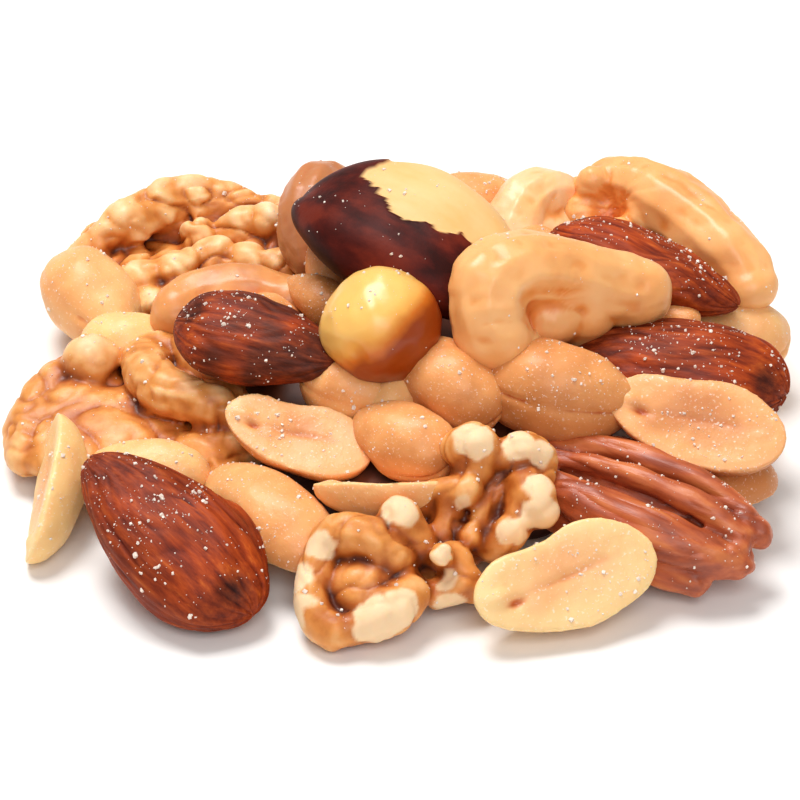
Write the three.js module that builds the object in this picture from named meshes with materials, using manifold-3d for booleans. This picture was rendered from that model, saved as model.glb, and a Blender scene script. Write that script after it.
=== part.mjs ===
// A heap of mixed nuts as it lies on a table: one solid, with every nut fused to a low core.
// Millimetres, +Z up. The heap stands on z = 0 and its front faces -Y.
import * as THREE from 'three';
import { mergeVertices } from 'three/addons/utils/BufferGeometryUtils.js';
import Module from 'manifold-3d';

const wasm = await Module();
wasm.setup();

// Length, width and thickness of one nut of each kind.
const ALMOND = { length: 24.5, width: 13.5, thickness: 8.5 };
const PEANUT = { length: 16, width: 10.5 };
const PEANUT_HALF = { length: 19.5, width: 10.5, thickness: 5.2 };
const CASHEW = { bendRadius: 8.4, bendAngle: 176, girth: 11.2, thickness: 9.8 };
const PECAN_HALF = { length: 28, width: 15, thickness: 8.5 };
const BRAZIL_NUT = { length: 29, width: 16.5, thickness: 13.5, bow: 2.2 };
const ROUND_NUT = { length: 13.2, width: 12.4 };

// The core under the nuts: a low mound with a flat underside.
const CORE = { radius: 27, height: 12.5, shoulder: 0.55, sides: 18, rings: 4, setBack: 2 };

// Each nut of a kind: its middle x, y and z, then its heading from +X, its pitch up from level and
// its roll about its own length in degrees, and its size against the usual one of its kind.
const ALMONDS = [
  [-24.4, -26.4, 7.0, 138, 20, -15, 1.0],
  [-16.1, -3.9, 16.4, -17, -4, 22, 0.79],
  [30.6, -4.2, 12.2, 168, 6, -20, 1.0],
  [28.0, 12.3, 14.4, -28, -8, -20, 1.0],
  [17.0, 32.0, 5.0, 15, 0, 5, 0.95],
  [3.5, 22.5, 10.5, 15, -12, 0, 0.95],
];

const PEANUTS = [
  [-35.8, 19.7, 6.2, 125, 10, 0, 0.96],
  [0.2, -14.9, 11.0, -40, 0, 0, 0.8],
  [5.4, -7.8, 14.2, -42, -15, 0, 0.86],
  [17.6, -8.3, 13.4, 172, 8, 0, 1.0],
  [-5.8, -7.3, 12.2, 160, 10, 0, 0.7],
  [37.6, 12.4, 6.2, 160, 0, 0, 0.82],
  [-30.1, 8.5, 6.8, 175, 5, 0, 0.85],
  [-7.2, 15.6, 14.0, 80, 20, 0, 0.75],
  [18.3, 6.0, 11.0, 10, 0, 0, 0.9],
  [-7.0, 31.5, 5.1, 35, 0, 0, 1.0],
  [4.0, 33.5, 5.1, -25, 0, 0, 0.95],
  [37.0, 22.0, 5.0, 70, 0, 0, 0.95],
  [35.5, 1.5, 5.0, 100, 0, 0, 0.95],
  [-17.0, 4.0, 11.0, 50, 0, 0, 0.9],
  [15.5, 17.0, 11.0, 100, 0, 0, 0.95],
];

const PEANUT_HALVES = [
  [-38.6, -16.4, 5.0, 70, 20, 90, 0.88],
  [-14.2, -21.2, 5.0, -48, -5, 0, 0.97],
  [-11.2, -13.5, 11.2, -18, -10, 200, 0.87],
  [16.9, -32.6, 6.3, 20, 5, 228, 1.04],
  [31.3, -12.6, 12.2, -18, -8, 210, 1.03],
  [-1.6, -20.3, 9.4, 0, 0, 142, 0.82],
  [-27.3, -13.6, 6.0, -10, 0, 0, 0.7],
  [33.0, -14.6, 4.2, 20, 0, 0, 0.82],
  [-19.6, 10.2, 11.0, -2, 0, 0, 0.95],
  [6.3, 31.0, 11.4, 10, 0, 10, 0.85],
  [-9.3, 8.0, 13.8, -40, 0, 20, 0.55],
  [30.0, 7.6, 12.0, -60, 10, 30, 0.5],
  [0.2, -6.0, 11.6, 60, 0, 60, 0.7],
  [30.5, 30.8, 4.6, -50, 0, 180, 1.0],
];

const CASHEWS = [
  [16.5, -1.6, 18.6, 22, 0, 60, 1.08],
  [29.4, 20.6, 12.4, -42, 0, 42, 1.18],
  [16.4, 26.5, 10.6, 60, 30, 60, 0.75],
  [-9.2, 21.4, 14.6, 80, 10, 60, 0.8],
];

const PECANS = [[24.6, -22.0, 6.2, -28, -5, 15, 1.0]];

const BRAZIL_NUTS = [[0.4, 8.4, 20.0, -34, -8, 0, 1.0]];

const ROUND_NUTS = [[-2.4, -4.7, 19.0, 20, 10, 0, 1.0]];

// A walnut kernel is a shallow dish with a crinkled rim and ridges. Each one has its own middle,
// the half lengths of its dish, and its lobes: the middle x, y and z and the radius of each.
const WALNUTS = [
  {
    middle: [-23.5, 26.6, 0],
    dish: { spot: [0, 1.5, 4.2], reach: [13, 10.6, 4.6] },
    lobes: [
      [-12.3, 3.6, 6.6, 3.3],
      [-8.6, 5.8, 8.6, 3.6],
      [-4, 8.8, 9.4, 3.8],
      [0.9, 9.4, 9.2, 3.4],
      [6, 9, 8, 3.4],
      [11.2, 5.8, 6.6, 3.4],
      [4.5, 4.3, 9, 2.8],
      [9.4, 3, 9, 3.4],
      [-0.8, 3.6, 7.6, 2.6],
      [3.6, -1, 7.6, 3.3],
      [9.4, -2, 7, 3.4],
      [-5.8, -4.2, 7, 3.5],
      [0.4, -6.6, 5.8, 3.8],
    ],
  },
  {
    middle: [-31, -3, 0],
    dish: { spot: [0, 0, 3.2], reach: [12, 10, 3.4] },
    lobes: [
      [-9.7, -0.4, 4.8, 3.3],
      [-8.2, 4.4, 5.6, 3.4],
      [-4.2, 7, 8, 3.9],
      [2.9, 5.4, 9.2, 3],
      [3.9, 0.6, 9.4, 3.2],
      [7.4, -2.3, 9.6, 3.1],
      [10.4, -3.1, 9.4, 2.9],
      [7.2, 6.6, 8.8, 3.3],
      [10.8, 2.6, 8, 3.2],
      [9.8, -6.2, 6.4, 3.4],
      [-1.9, -5.7, 5.2, 3.4],
      [-6.9, -4.8, 4, 3.4],
      [4.6, -7.6, 4.4, 3.4],
    ],
  },
  {
    middle: [1.9, -27, 0],
    dish: { spot: [2.5, 1.5, 6], reach: [8.5, 6, 4.5] },
    lobes: [
      [-7.4, -0.9, 7.4, 3.8],
      [-11, -4.4, 6, 3.2],
      [-10.4, -7.8, 3.4, 3.2],
      [-5.4, -8.3, 3.2, 3.4],
      [-2.2, -6.6, 4.2, 3.6],
      [-4.8, -3.4, 4.8, 4],
      [-2.2, 3.1, 9.2, 3.4],
      [2.9, 4.8, 11.2, 3.4],
      [5, 7, 14, 3.4],
      [1.4, -0.8, 7.2, 3],
      [9.5, 8.4, 12.6, 3.4],
      [11.2, 4.6, 10.2, 3.6],
      [8.7, 1.1, 8, 3.6],
      [4.6, -1, 4.6, 4],
    ],
  },
];
const LOBE = { sides: 6, rings: 5 };
const DISH = { sides: 10, rings: 5 };

// The nuts' surfaces start as a ball of radius 1 whose poles lie on the X axis. A form moves each
// point of the ball to its place on a nut that lies along X, with its back up.
function nutShape(form, sides, rings) {
  const shape = new THREE.SphereGeometry(1, sides, rings).rotateZ(-Math.PI / 2);
  const spots = shape.attributes.position;
  const spot = new THREE.Vector3();
  for (let i = 0; i < spots.count; i += 1) {
    form(spot.fromBufferAttribute(spots, i));
    spots.setXYZ(i, spot.x, spot.y, spot.z);
  }
  return shape;
}

// A flat teardrop, blunt at one end and pointed at the other.
function almond(spot) {
  const taper = 1.04 - 0.3 * spot.x - 0.14 * spot.x * spot.x;
  spot.x *= ALMOND.length / 2;
  spot.y *= (ALMOND.width / 2) * taper;
  spot.z *= (ALMOND.thickness / 2) * taper;
}

// A whole shelled peanut: an egg, fuller at one end.
function peanut(spot) {
  const taper = 1 + 0.12 * spot.x;
  spot.x *= PEANUT.length / 2;
  spot.y *= (PEANUT.width / 2) * taper;
  spot.z *= (PEANUT.width / 2) * taper;
}

// One half of a split peanut: a rounded back over a flat face.
function peanutHalf(spot) {
  const taper = 1 + 0.1 * spot.x;
  const depth = spot.z > 0 ? PEANUT_HALF.thickness : 0.6;
  spot.x *= PEANUT_HALF.length / 2;
  spot.y *= (PEANUT_HALF.width / 2) * taper;
  spot.z *= depth * taper;
}

// A cashew: a blunt tube bent round the Z axis, with its hollow side to -Y.
function cashew(spot) {
  const around = Math.hypot(spot.y, spot.z);
  const full = around > 0 ? around ** -0.35 : 0;
  const fat = 1 - 0.16 * spot.x;
  const turn = spot.x * THREE.MathUtils.degToRad(CASHEW.bendAngle / 2);
  const reach = CASHEW.bendRadius + spot.y * full * fat * (CASHEW.girth / 2);
  spot.z *= full * fat * (CASHEW.thickness / 2);
  spot.x = reach * Math.sin(turn);
  spot.y = reach * Math.cos(turn) - CASHEW.bendRadius * 0.6;
}

// Half a pecan: long rounded lobes side by side over a flat face.
function pecanHalf(spot) {
  const angle = Math.atan2(spot.z, spot.y);
  const lobes = 1 + (spot.z > 0 ? 0.1 : 0) * Math.cos(8 * angle);
  const depth = spot.z > 0 ? PECAN_HALF.thickness : 2;
  spot.x *= PECAN_HALF.length / 2;
  spot.y *= (PECAN_HALF.width / 2) * lobes;
  spot.z *= depth * lobes;
}

// A Brazil nut: a three-sided wedge, bowed along its length.
function brazilNut(spot) {
  const ridges = 1 + 0.16 * Math.cos(3 * Math.atan2(spot.z, spot.y) + Math.PI / 2);
  const bow = BRAZIL_NUT.bow * (1 - 2 * spot.x * spot.x);
  spot.x *= BRAZIL_NUT.length / 2;
  spot.y *= (BRAZIL_NUT.width / 2) * ridges;
  spot.z = spot.z * (BRAZIL_NUT.thickness / 2) * ridges + bow;
}

// A small round nut, a little longer than it is wide.
function roundNut(spot) {
  spot.x *= ROUND_NUT.length / 2;
  spot.y *= ROUND_NUT.width / 2;
  spot.z *= ROUND_NUT.width / 2;
}

// Each kind with its form, its places, and the sides and rings of its ball.
const KINDS = [
  { form: almond, places: ALMONDS, sides: 10, rings: 8 },
  { form: peanut, places: PEANUTS, sides: 8, rings: 7 },
  { form: peanutHalf, places: PEANUT_HALVES, sides: 10, rings: 6 },
  { form: cashew, places: CASHEWS, sides: 8, rings: 10 },
  { form: pecanHalf, places: PECANS, sides: 16, rings: 8 },
  { form: brazilNut, places: BRAZIL_NUTS, sides: 12, rings: 8 },
  { form: roundNut, places: ROUND_NUTS, sides: 10, rings: 8 },
];

// A nut turned and set down at its place in the heap.
function placedNut(kind, place) {
  const [x, y, z, heading, pitch, roll, size] = place;
  const degrees = THREE.MathUtils.degToRad;
  const turn = new THREE.Euler(degrees(roll), -degrees(pitch), degrees(heading), 'ZYX');
  const lay = new THREE.Matrix4().makeRotationFromEuler(turn);
  lay.scale(new THREE.Vector3(size, size, size)).setPosition(x, y, z);
  return nutShape(kind.form, kind.sides, kind.rings).applyMatrix4(lay);
}

// A ball stretched to three half lengths and set down at a spot.
function lobe(spot, reach, { sides, rings }) {
  return new THREE.SphereGeometry(1, sides, rings).scale(...reach).translate(...spot);
}

// A walnut kernel: its lobes fused to its dish.
function walnut({ middle, dish, lobes }) {
  let kernel = solid(lobe(dish.spot, dish.reach, DISH));
  for (const [x, y, z, radius] of lobes) {
    kernel = kernel.add(solid(lobe([x, y, z], [radius, radius, radius], LOBE)));
  }
  return kernel.translate(middle);
}

// The mound that the nuts lie on.
function coreShape() {
  const profile = [new THREE.Vector2(0, 0), new THREE.Vector2(CORE.radius, 0)];
  for (let ring = 1; ring <= CORE.rings; ring += 1) {
    const turn = (ring / CORE.rings) * (Math.PI / 2);
    const reach = Math.cos(turn) ** CORE.shoulder;
    profile.push(new THREE.Vector2(CORE.radius * reach, CORE.height * Math.sin(turn)));
  }
  profile[profile.length - 1].x = 0;
  const mound = new THREE.LatheGeometry(profile, CORE.sides).rotateX(Math.PI / 2);
  return mound.translate(0, CORE.setBack, 0);
}

// A closed mesh as a solid that can be joined and cut.
function solid(geometry) {
  const bare = geometry.clone();
  bare.deleteAttribute('normal');
  bare.deleteAttribute('uv');
  const merged = mergeVertices(bare, 0.001);
  const vertProperties = new Float32Array(merged.attributes.position.array);
  const triVerts = new Uint32Array(merged.index.array);
  return new wasm.Manifold(new wasm.Mesh({ numProp: 3, vertProperties, triVerts }));
}

// What lies above the table: nuts that reach it get a small flat spot.
function aboveTable() {
  const block = new THREE.BoxGeometry(300, 300, 100).translate(0, 0, 50);
  return solid(block);
}

function heapSolid() {
  let heap = solid(coreShape());
  for (const kind of KINDS) {
    for (const place of kind.places) {
      heap = heap.add(solid(placedNut(kind, place)));
    }
  }
  for (const kernel of WALNUTS) {
    heap = heap.add(walnut(kernel));
  }
  const pieces = heap.intersect(aboveTable()).decompose();
  pieces.sort((a, b) => b.volume() - a.volume());
  return pieces[0];
}

function geometryOf(body) {
  const mesh = body.getMesh();
  const geometry = new THREE.BufferGeometry();
  geometry.setAttribute('position', new THREE.BufferAttribute(mesh.vertProperties, 3));
  geometry.setIndex(new THREE.BufferAttribute(mesh.triVerts, 1));
  geometry.computeVertexNormals();
  return geometry;
}

const nutBrown = new THREE.MeshStandardMaterial({ color: '#c88a4e', roughness: 0.55, metalness: 0 });
const heap = new THREE.Mesh(geometryOf(heapSolid()), nutBrown);
heap.name = 'nut_heap';

const model = new THREE.Group();
model.add(heap);

export default model;
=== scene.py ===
"""A loose heap of roasted, salted mixed nuts on a pale table, with every nut a mesh of its own form."""
import math
import random

import bpy
from mathutils import Euler, Matrix, Vector, noise


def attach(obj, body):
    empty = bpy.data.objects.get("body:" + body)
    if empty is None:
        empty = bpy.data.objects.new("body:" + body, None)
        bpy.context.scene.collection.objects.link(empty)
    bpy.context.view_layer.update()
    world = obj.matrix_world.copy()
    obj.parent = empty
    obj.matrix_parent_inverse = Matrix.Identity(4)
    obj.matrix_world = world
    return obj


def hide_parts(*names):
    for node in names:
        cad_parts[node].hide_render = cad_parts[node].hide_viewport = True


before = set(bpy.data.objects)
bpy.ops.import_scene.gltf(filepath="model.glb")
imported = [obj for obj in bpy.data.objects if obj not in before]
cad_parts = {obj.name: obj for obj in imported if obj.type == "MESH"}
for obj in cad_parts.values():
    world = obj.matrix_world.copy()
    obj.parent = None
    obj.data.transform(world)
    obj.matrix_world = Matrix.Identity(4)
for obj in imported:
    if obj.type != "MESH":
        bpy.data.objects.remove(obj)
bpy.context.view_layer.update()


# --- The camera -------------------------------------------------------------------------------
# It looks down on the front of the heap through a long lens from arm's length, so that the nuts
# at the back look hardly smaller than those in front.
mm = 0.001
camera_elevation = math.radians(35)
camera_distance = 400 * mm
camera_target = Vector((-0.33, 0, 6)) * mm
camera_back = Vector((0, -math.cos(camera_elevation), math.sin(camera_elevation)))

bpy.ops.object.camera_add(
    location=camera_target + camera_back * camera_distance,
    rotation=(math.pi / 2 - camera_elevation, 0, 0),
)
camera = bpy.context.active_object
camera.data.lens = 162
bpy.context.scene.camera = camera
bpy.context.scene.view_settings.view_transform = "Standard"


# --- The table --------------------------------------------------------------------------------
# A smooth white laminate top, far wider than the heap, lit so that it shows as plain white. It
# is not part of the heap.
table_width = 3.0


def linear(hex_colour):
    """An sRGB colour such as '#c88a4e' as the linear red, green, blue and alpha that Blender takes."""
    parts = [int(hex_colour[i : i + 2], 16) / 255 for i in (1, 3, 5)]
    return [p / 12.92 if p <= 0.04045 else ((p + 0.055) / 1.055) ** 2.4 for p in parts] + [1]


def set_sockets(tree, node, sockets):
    """Gives each named socket its value, or links it where the value is another node's output."""
    for name, value in sockets.items():
        if isinstance(value, bpy.types.NodeSocket):
            tree.links.new(value, node.inputs[name])
        else:
            node.inputs[name].default_value = value


def new_material(name):
    """An empty material: its node tree and its shader, which is already linked to the output."""
    material = bpy.data.materials.new(name)
    material.use_nodes = True
    tree = material.node_tree
    return material, tree, tree.nodes["Principled BSDF"]


bpy.ops.mesh.primitive_plane_add(size=table_width)
table = bpy.context.active_object
table.name = "table"
# White laminate: a hard even white with a faint soft gloss.
laminate, tree, shader = new_material("white_laminate")
set_sockets(tree, shader, {"Base Color": linear("#f6f4f1"), "Roughness": 0.6})
table.data.materials.append(laminate)


# --- The light --------------------------------------------------------------------------------
# Studio light: a large soft box above and behind on the left, a wide one over the camera, and a
# white room that fills the shadows.
world = bpy.data.worlds.new("white_room")
world.use_nodes = True
room = world.node_tree.nodes["Background"]
set_sockets(world.node_tree, room, {"Color": linear("#ffffff"), "Strength": 0.33})
bpy.context.scene.world = world


def soft_box(name, place, size, watts):
    """A square area light at a place in metres that faces the middle of the heap."""
    facing = (-Vector(place)).to_track_quat("-Z", "Y").to_euler()
    bpy.ops.object.light_add(type="AREA", location=place, rotation=facing)
    light = bpy.context.active_object
    light.name = name
    light.data.size = size
    light.data.energy = watts


soft_box("key_light", (-0.14, 0.20, 0.66), 0.34, 4.9)
soft_box("front_light", (0.10, -0.55, 0.62), 0.45, 2.9)


# --- Almonds ----------------------------------------------------------------------------------
# Whole shelled almonds, roasted in their skins: flat hard teardrops, blunt at one end, whose
# papery brown skin has dried into lengthwise wrinkles over the kernel.
almond_length = 24.5
almond_width = 13.5
almond_thickness = 8.5
almond_wrinkle = 0.22
almond_scar = Vector((-10.6, 0.6, 3.4))

# x, y, z, heading, pitch, roll, size, and how dark the skin is from 0 to 1.
almond_places = [
    (-24.4, -26.4, 7.0, 138, 20, -15, 1.00, 0.35),
    (-15.6, -3.9, 16.4, -17, -4, 22, 0.765, 0.72),
    (30.2, -4.2, 12.6, 168, 6, -20, 0.95, 0.45),
    (27.2, 12.6, 15.0, -28, -6, -20, 0.93, 0.25),
    (17.0, 32.0, 5.0, 15, 0, 5, 0.95, 0.40),
    (3.5, 22.5, 10.5, 15, -12, 0, 0.95, 0.50),
]


# Each kind is modelled once, lying along X with its back up and its middle at the origin. Each nut
# in the heap is a copy, with its own unevenness out of noise that always starts from these seeds.
shapes_seed = Vector((3.1, 7.7, 1.9))
noise.seed_set(7)


def only(piece):
    """Leaves one object selected and active, in object mode."""
    bpy.ops.object.select_all(action="DESELECT")
    piece.select_set(True)
    bpy.context.view_layer.objects.active = piece


def ball(name, reach, segments, rings, middle=(0, 0, 0)):
    """A ball with its poles on X, stretched to three half lengths in mm, round its middle."""
    bpy.ops.mesh.primitive_uv_sphere_add(
        segments=segments, ring_count=rings, radius=1, rotation=(0, math.pi / 2, 0)
    )
    piece = bpy.context.active_object
    piece.name = name
    bpy.ops.object.transform_apply(location=False, rotation=True, scale=False)
    bpy.ops.object.mode_set(mode="EDIT")
    bpy.ops.transform.resize(value=[half * mm for half in reach])
    bpy.ops.object.mode_set(mode="OBJECT")
    piece.data.transform(Matrix.Translation(Vector(middle) * mm))
    return piece


def modify(piece, kind, **settings):
    """Gives a piece one modifier with its settings and applies it."""
    only(piece)
    bpy.ops.object.modifier_add(type=kind)
    modifier = piece.modifiers[-1]
    for name, value in settings.items():
        setattr(modifier, name, value)
    bpy.ops.object.modifier_apply(modifier=modifier.name)


def carve(piece, relief, number):
    """Moves each point of a nut along its normal by what its kind's relief gives there, in mm.

    The point's place on the bare nut, in mm, is kept as the attribute on_nut, and what the relief
    says of the surface there as the attribute mark, so that the finish follows the form.
    """
    piece.data.attributes.new("on_nut", "FLOAT_VECTOR", "POINT")
    piece.data.attributes.new("mark", "FLOAT", "POINT")
    on_nut = piece.data.attributes["on_nut"].data
    mark = piece.data.attributes["mark"].data
    normals = [point.normal.copy() for point in piece.data.vertices]
    shift = shapes_seed * (number + 1)
    for index, point in enumerate(piece.data.vertices):
        spot = point.co / mm
        push, mark[index].value = relief(spot, shift)
        on_nut[index].vector = spot
        point.co += normals[index] * push * mm


def lay(piece, place):
    """Turns a nut by its roll, pitch and heading in degrees, sizes it, and sets it down in mm.

    A place may end with how dark the nut is, which is kept as the attribute tone.
    """
    x, y, z, heading, pitch, roll, size, *tone = place
    turn = Euler([math.radians(angle) for angle in (roll, -pitch, heading)], "XYZ")
    spot = Matrix.Translation(Vector((x, y, z)) * mm)
    piece.data.transform(spot @ turn.to_matrix().to_4x4() @ Matrix.Scale(size, 4))
    for point in piece.data.vertices:
        point.co.z = max(point.co.z, 0)
    if tone:
        tones = piece.data.attributes.new("tone", "FLOAT", "POINT")
        tones.data.foreach_set("value", tone * len(piece.data.vertices))


def one_piece(name, parts):
    """Joins parts into one smooth piece."""
    only(parts[0])
    for part in parts:
        part.select_set(True)
    if len(parts) > 1:
        bpy.ops.object.join()
    piece = bpy.context.active_object
    piece.name = name
    bpy.ops.object.shade_smooth()
    return piece


def heap_up(name, model, relief, places):
    """Lays a copy of a modelled nut at each of its places and joins them. The model goes."""
    nuts = []
    for number, place in enumerate(places):
        only(model)
        bpy.ops.object.duplicate()
        nut = bpy.context.active_object
        carve(nut, relief, number)
        lay(nut, place)
        nuts.append(nut)
    bpy.data.objects.remove(model)
    return one_piece(name, nuts)


def note_hollows(piece, depth, passes):
    """Keeps as the attribute hollow how deep in a fold each point lies: 0.5 on an even surface,
    1 at the bottom of a fold that is depth mm deep, 0 on a crest."""
    only(piece)
    bpy.ops.object.duplicate()
    even = bpy.context.active_object
    modify(even, "SMOOTH", factor=0.5, iterations=passes)
    hollow = piece.data.attributes.new("hollow", "FLOAT", "POINT")
    for index, point in enumerate(piece.data.vertices):
        lift = (even.data.vertices[index].co - point.co).dot(point.normal) / mm
        hollow.data[index].value = min(1, max(0, 0.5 + 0.5 * lift / depth))
    bpy.data.objects.remove(even)


def dress(piece, material):
    """Gives a piece its material and says what it stands for."""
    piece.data.materials.clear()
    piece.data.materials.append(material)
    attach(piece, "root")
    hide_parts("nut_heap")


def add_node(tree, kind, settings=None, sockets=None, stops=()):
    """Adds a node with its settings, its sockets' values or links, and a colour ramp's stops."""
    node = tree.nodes.new("ShaderNode" + kind)
    for name, value in (settings or {}).items():
        setattr(node, name, value)
    set_sockets(tree, node, sockets or {})
    for number, (position, colour) in enumerate(stops):
        elements = node.color_ramp.elements
        element = elements[number] if number < 2 else elements.new(position)
        element.position = position
        element.color = linear(colour)
    return node


def almond_relief(spot, shift):
    """Rounded ridges that run and waver from tip to tip, about a millimetre apart, over dents."""
    along = spot.x / (almond_length / 2)
    around = math.atan2(spot.z / almond_thickness, spot.y / almond_width)
    around += 0.5 * noise.noise(Vector((1.8 * along, math.cos(around), math.sin(around))) + shift)
    side, back = math.cos(around), math.sin(around)
    ridge = abs(noise.noise(Vector((1.3 * along, 3.2 * side, 3.2 * back)) + shift))
    wrinkle = abs(noise.noise(Vector((3.0 * along, 7.5 * side, 7.5 * back)) - shift))
    dent = 0.5 * noise.noise(spot / 5.5 + shift)
    scar = math.exp(-((spot - almond_scar).length_squared) / 3.5)
    return dent + almond_wrinkle * (2.2 * ridge + 0.8 * wrinkle) - 0.7 * scar, scar


almond_reach = (almond_length / 2, almond_width / 2, almond_thickness / 2)
almond = ball("almond", almond_reach, segments=144, rings=84)
modify(almond, "SIMPLE_DEFORM", deform_method="TAPER", deform_axis="X", factor=-0.55)
almonds = heap_up("almonds", almond, almond_relief, almond_places)
note_hollows(almonds, depth=0.14, passes=24)

# Roasted almond skin: thin, dry and papery, so dull, with a low shine. Painted shade darkens the
# folds and a painted highlight lightens the crests; the raised streaks between them are orange-brown.
almond_skin, tree, shader = new_material("roasted_almond_skin")
on_nut = add_node(tree, "Attribute", {"attribute_name": "on_nut"})
hollow = add_node(tree, "Attribute", {"attribute_name": "hollow"})
tone = add_node(tree, "Attribute", {"attribute_name": "tone"})
streaks_place = add_node(
    tree, "Mapping", {}, {"Vector": on_nut.outputs["Vector"], "Scale": (0.16, 1.1, 1.1)}
)
streaks = add_node(
    tree, "TexNoise", {},
    {"Vector": streaks_place.outputs["Vector"], "Scale": 1.0, "Detail": 5, "Roughness": 0.65},
)
light_skin = add_node(
    tree, "ValToRGB", {}, {"Fac": streaks.outputs["Fac"]},
    [(0.30, "#74260e"), (0.44, "#9c3c14"), (0.58, "#b84e18"), (0.74, "#da742a")],
)
dark_skin = add_node(
    tree, "ValToRGB", {}, {"Fac": streaks.outputs["Fac"]},
    [(0.25, "#34140c"), (0.5, "#602a18"), (0.76, "#8c4424")],
)
scorch = add_node(
    tree, "TexNoise", {}, {"Vector": on_nut.outputs["Vector"], "Scale": 1 / 7, "Detail": 2}
)
scorched = add_node(
    tree, "MapRange", {},
    {"Value": scorch.outputs["Fac"], "From Min": 0.35, "From Max": 0.6, "To Min": 0.3, "To Max": 1.5},
)
mark = add_node(tree, "Attribute", {"attribute_name": "mark"})
darkness = add_node(
    tree, "Math", {"operation": "MULTIPLY_ADD", "use_clamp": True},
    {0: scorched.outputs["Result"], 1: tone.outputs["Fac"], 2: mark.outputs["Fac"]},
)
skin = add_node(
    tree, "Mix", {"data_type": "RGBA"},
    {"Factor": darkness.outputs["Value"], 6: light_skin.outputs["Color"], 7: dark_skin.outputs["Color"]},
)
# Painted shade and painted highlight: the folds are darkened and the crests lightened by how deep in a fold
# each point lies.
fold_shade = add_node(
    tree, "ValToRGB", {}, {"Fac": hollow.outputs["Fac"]},
    [(0.25, "#fff0e0"), (0.5, "#e8cfbc"), (0.85, "#96604c")],
)
shaded_skin = add_node(
    tree, "Mix", {"data_type": "RGBA", "blend_type": "MULTIPLY"},
    {"Factor": 1.0, 6: skin.outputs[2], 7: fold_shade.outputs["Color"]},
)
grain = add_node(
    tree, "TexNoise", {},
    {"Vector": streaks_place.outputs["Vector"], "Scale": 4.0, "Detail": 6, "Roughness": 0.7},
)
bump = add_node(tree, "Bump", {}, {"Height": grain.outputs["Fac"], "Strength": 0.5, "Distance": 0.12 * mm})
set_sockets(tree, shader, {
    "Base Color": shaded_skin.outputs[2], "Normal": bump.outputs["Normal"],
    "Roughness": 0.5, "Specular IOR Level": 0.18,
})
dress(almonds, almond_skin)


# --- Peanuts ----------------------------------------------------------------------------------
# Whole blanched peanuts, fried and salted: smooth plump eggs with the seam of their two halves
# and a small beak at the germ end.
peanut_length = 16
peanut_width = 10.5
peanut_seam_turn = math.radians(25)
peanut_seam_width = 0.34

# x, y, z, heading, pitch, roll, size, and how brown the nut is from 0 to 1.
peanut_places = [
    (-35.8, 19.7, 6.2, 125, 10, 0, 0.96, 0.35),
    (0.2, -14.9, 11.0, -40, 0, 0, 0.80, 0.55),
    (4.9, -8.4, 14.0, -42, -15, 0, 0.86, 0.60),
    (16.9, -9.0, 13.3, 172, 8, 0, 1.04, 0.66),
    (-5.8, -7.3, 12.2, 160, 10, 0, 0.70, 0.45),
    (37.0, 11.6, 7.2, -20, 0, 0, 0.90, 0.25),
    (-30.1, 8.5, 6.8, 175, 5, 0, 0.85, 0.08),
    (-7.2, 15.6, 14.0, 80, 20, 0, 0.75, 0.60),
    (18.3, 6.0, 11.0, 10, 0, 0, 0.90, 0.50),
    (-7.0, 31.5, 5.1, 35, 0, 0, 1.00, 0.40),
    (4.0, 33.5, 5.1, -25, 0, 0, 0.95, 0.50),
    (37.0, 22.0, 5.0, 70, 0, 0, 0.95, 0.35),
    (35.5, 1.5, 5.0, 100, 0, 0, 0.95, 0.45),
    (-17.0, 4.0, 11.0, 50, 0, 0, 0.90, 0.50),
    (15.5, 17.0, 11.0, 100, 0, 0, 0.95, 0.50),
]


def peanut_relief(spot, shift):
    """A seam line between the two halves, a beak at the germ end and slight lumps and pores."""
    seam_turn = peanut_seam_turn + shift.x
    off_seam = spot.y * math.sin(seam_turn) - spot.z * math.cos(seam_turn)
    beak = math.exp(-((spot.x + peanut_length / 2) ** 2 + spot.y**2 + spot.z**2) / 3.2)
    faint_at_middle = 0.35 + 0.65 * min(1, abs(spot.x) / 6)
    seam = math.exp(-((off_seam / peanut_seam_width) ** 2)) * faint_at_middle
    lumps = 0.5 * noise.noise(spot / 4.5 + shift) + 0.08 * noise.noise(spot / 1.1 + shift)
    return lumps + 0.6 * beak - 0.3 * seam, 0.0


peanut_reach = (peanut_length / 2, peanut_width / 2, peanut_width / 2)
peanut = ball("peanut", peanut_reach, segments=72, rings=48)
modify(peanut, "SIMPLE_DEFORM", deform_method="TAPER", deform_axis="X", factor=0.24)
peanuts = heap_up("peanuts", peanut, peanut_relief, peanut_places)
note_hollows(peanuts, depth=0.14, passes=14)

# Fried peanut: a smooth waxy kernel that lets light in a little under a thin film of oil. It is
# cream where pale and orange-tan where browned, with fine salt dust on it.
fried_peanut, tree, shader = new_material("fried_peanut")
on_nut = add_node(tree, "Attribute", {"attribute_name": "on_nut"})
hollow = add_node(tree, "Attribute", {"attribute_name": "hollow"})
tone = add_node(tree, "Attribute", {"attribute_name": "tone"})
mark = add_node(tree, "Attribute", {"attribute_name": "mark"})
browning = add_node(
    tree, "TexNoise", {}, {"Vector": on_nut.outputs["Vector"], "Scale": 1 / 5.5, "Detail": 3}
)
uneven_brown = add_node(
    tree, "Math", {"operation": "MULTIPLY_ADD"}, {0: browning.outputs["Fac"], 1: 0.5, 2: 0.25}
)
brownness = add_node(
    tree, "Math", {"operation": "MULTIPLY_ADD"},
    {0: tone.outputs["Fac"], 1: 0.6, 2: uneven_brown.outputs["Value"]},
)
back_colour = add_node(
    tree, "ValToRGB", {}, {"Fac": brownness.outputs["Value"]},
    [(0.5, "#f6ca86"), (0.66, "#f0b575"), (0.82, "#e79e5e"), (1.0, "#c67c42")],
)
face_brownness = add_node(
    tree, "Math", {"operation": "MULTIPLY_ADD"},
    {0: mark.outputs["Fac"], 1: 0.5, 2: brownness.outputs["Value"]},
)
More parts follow.
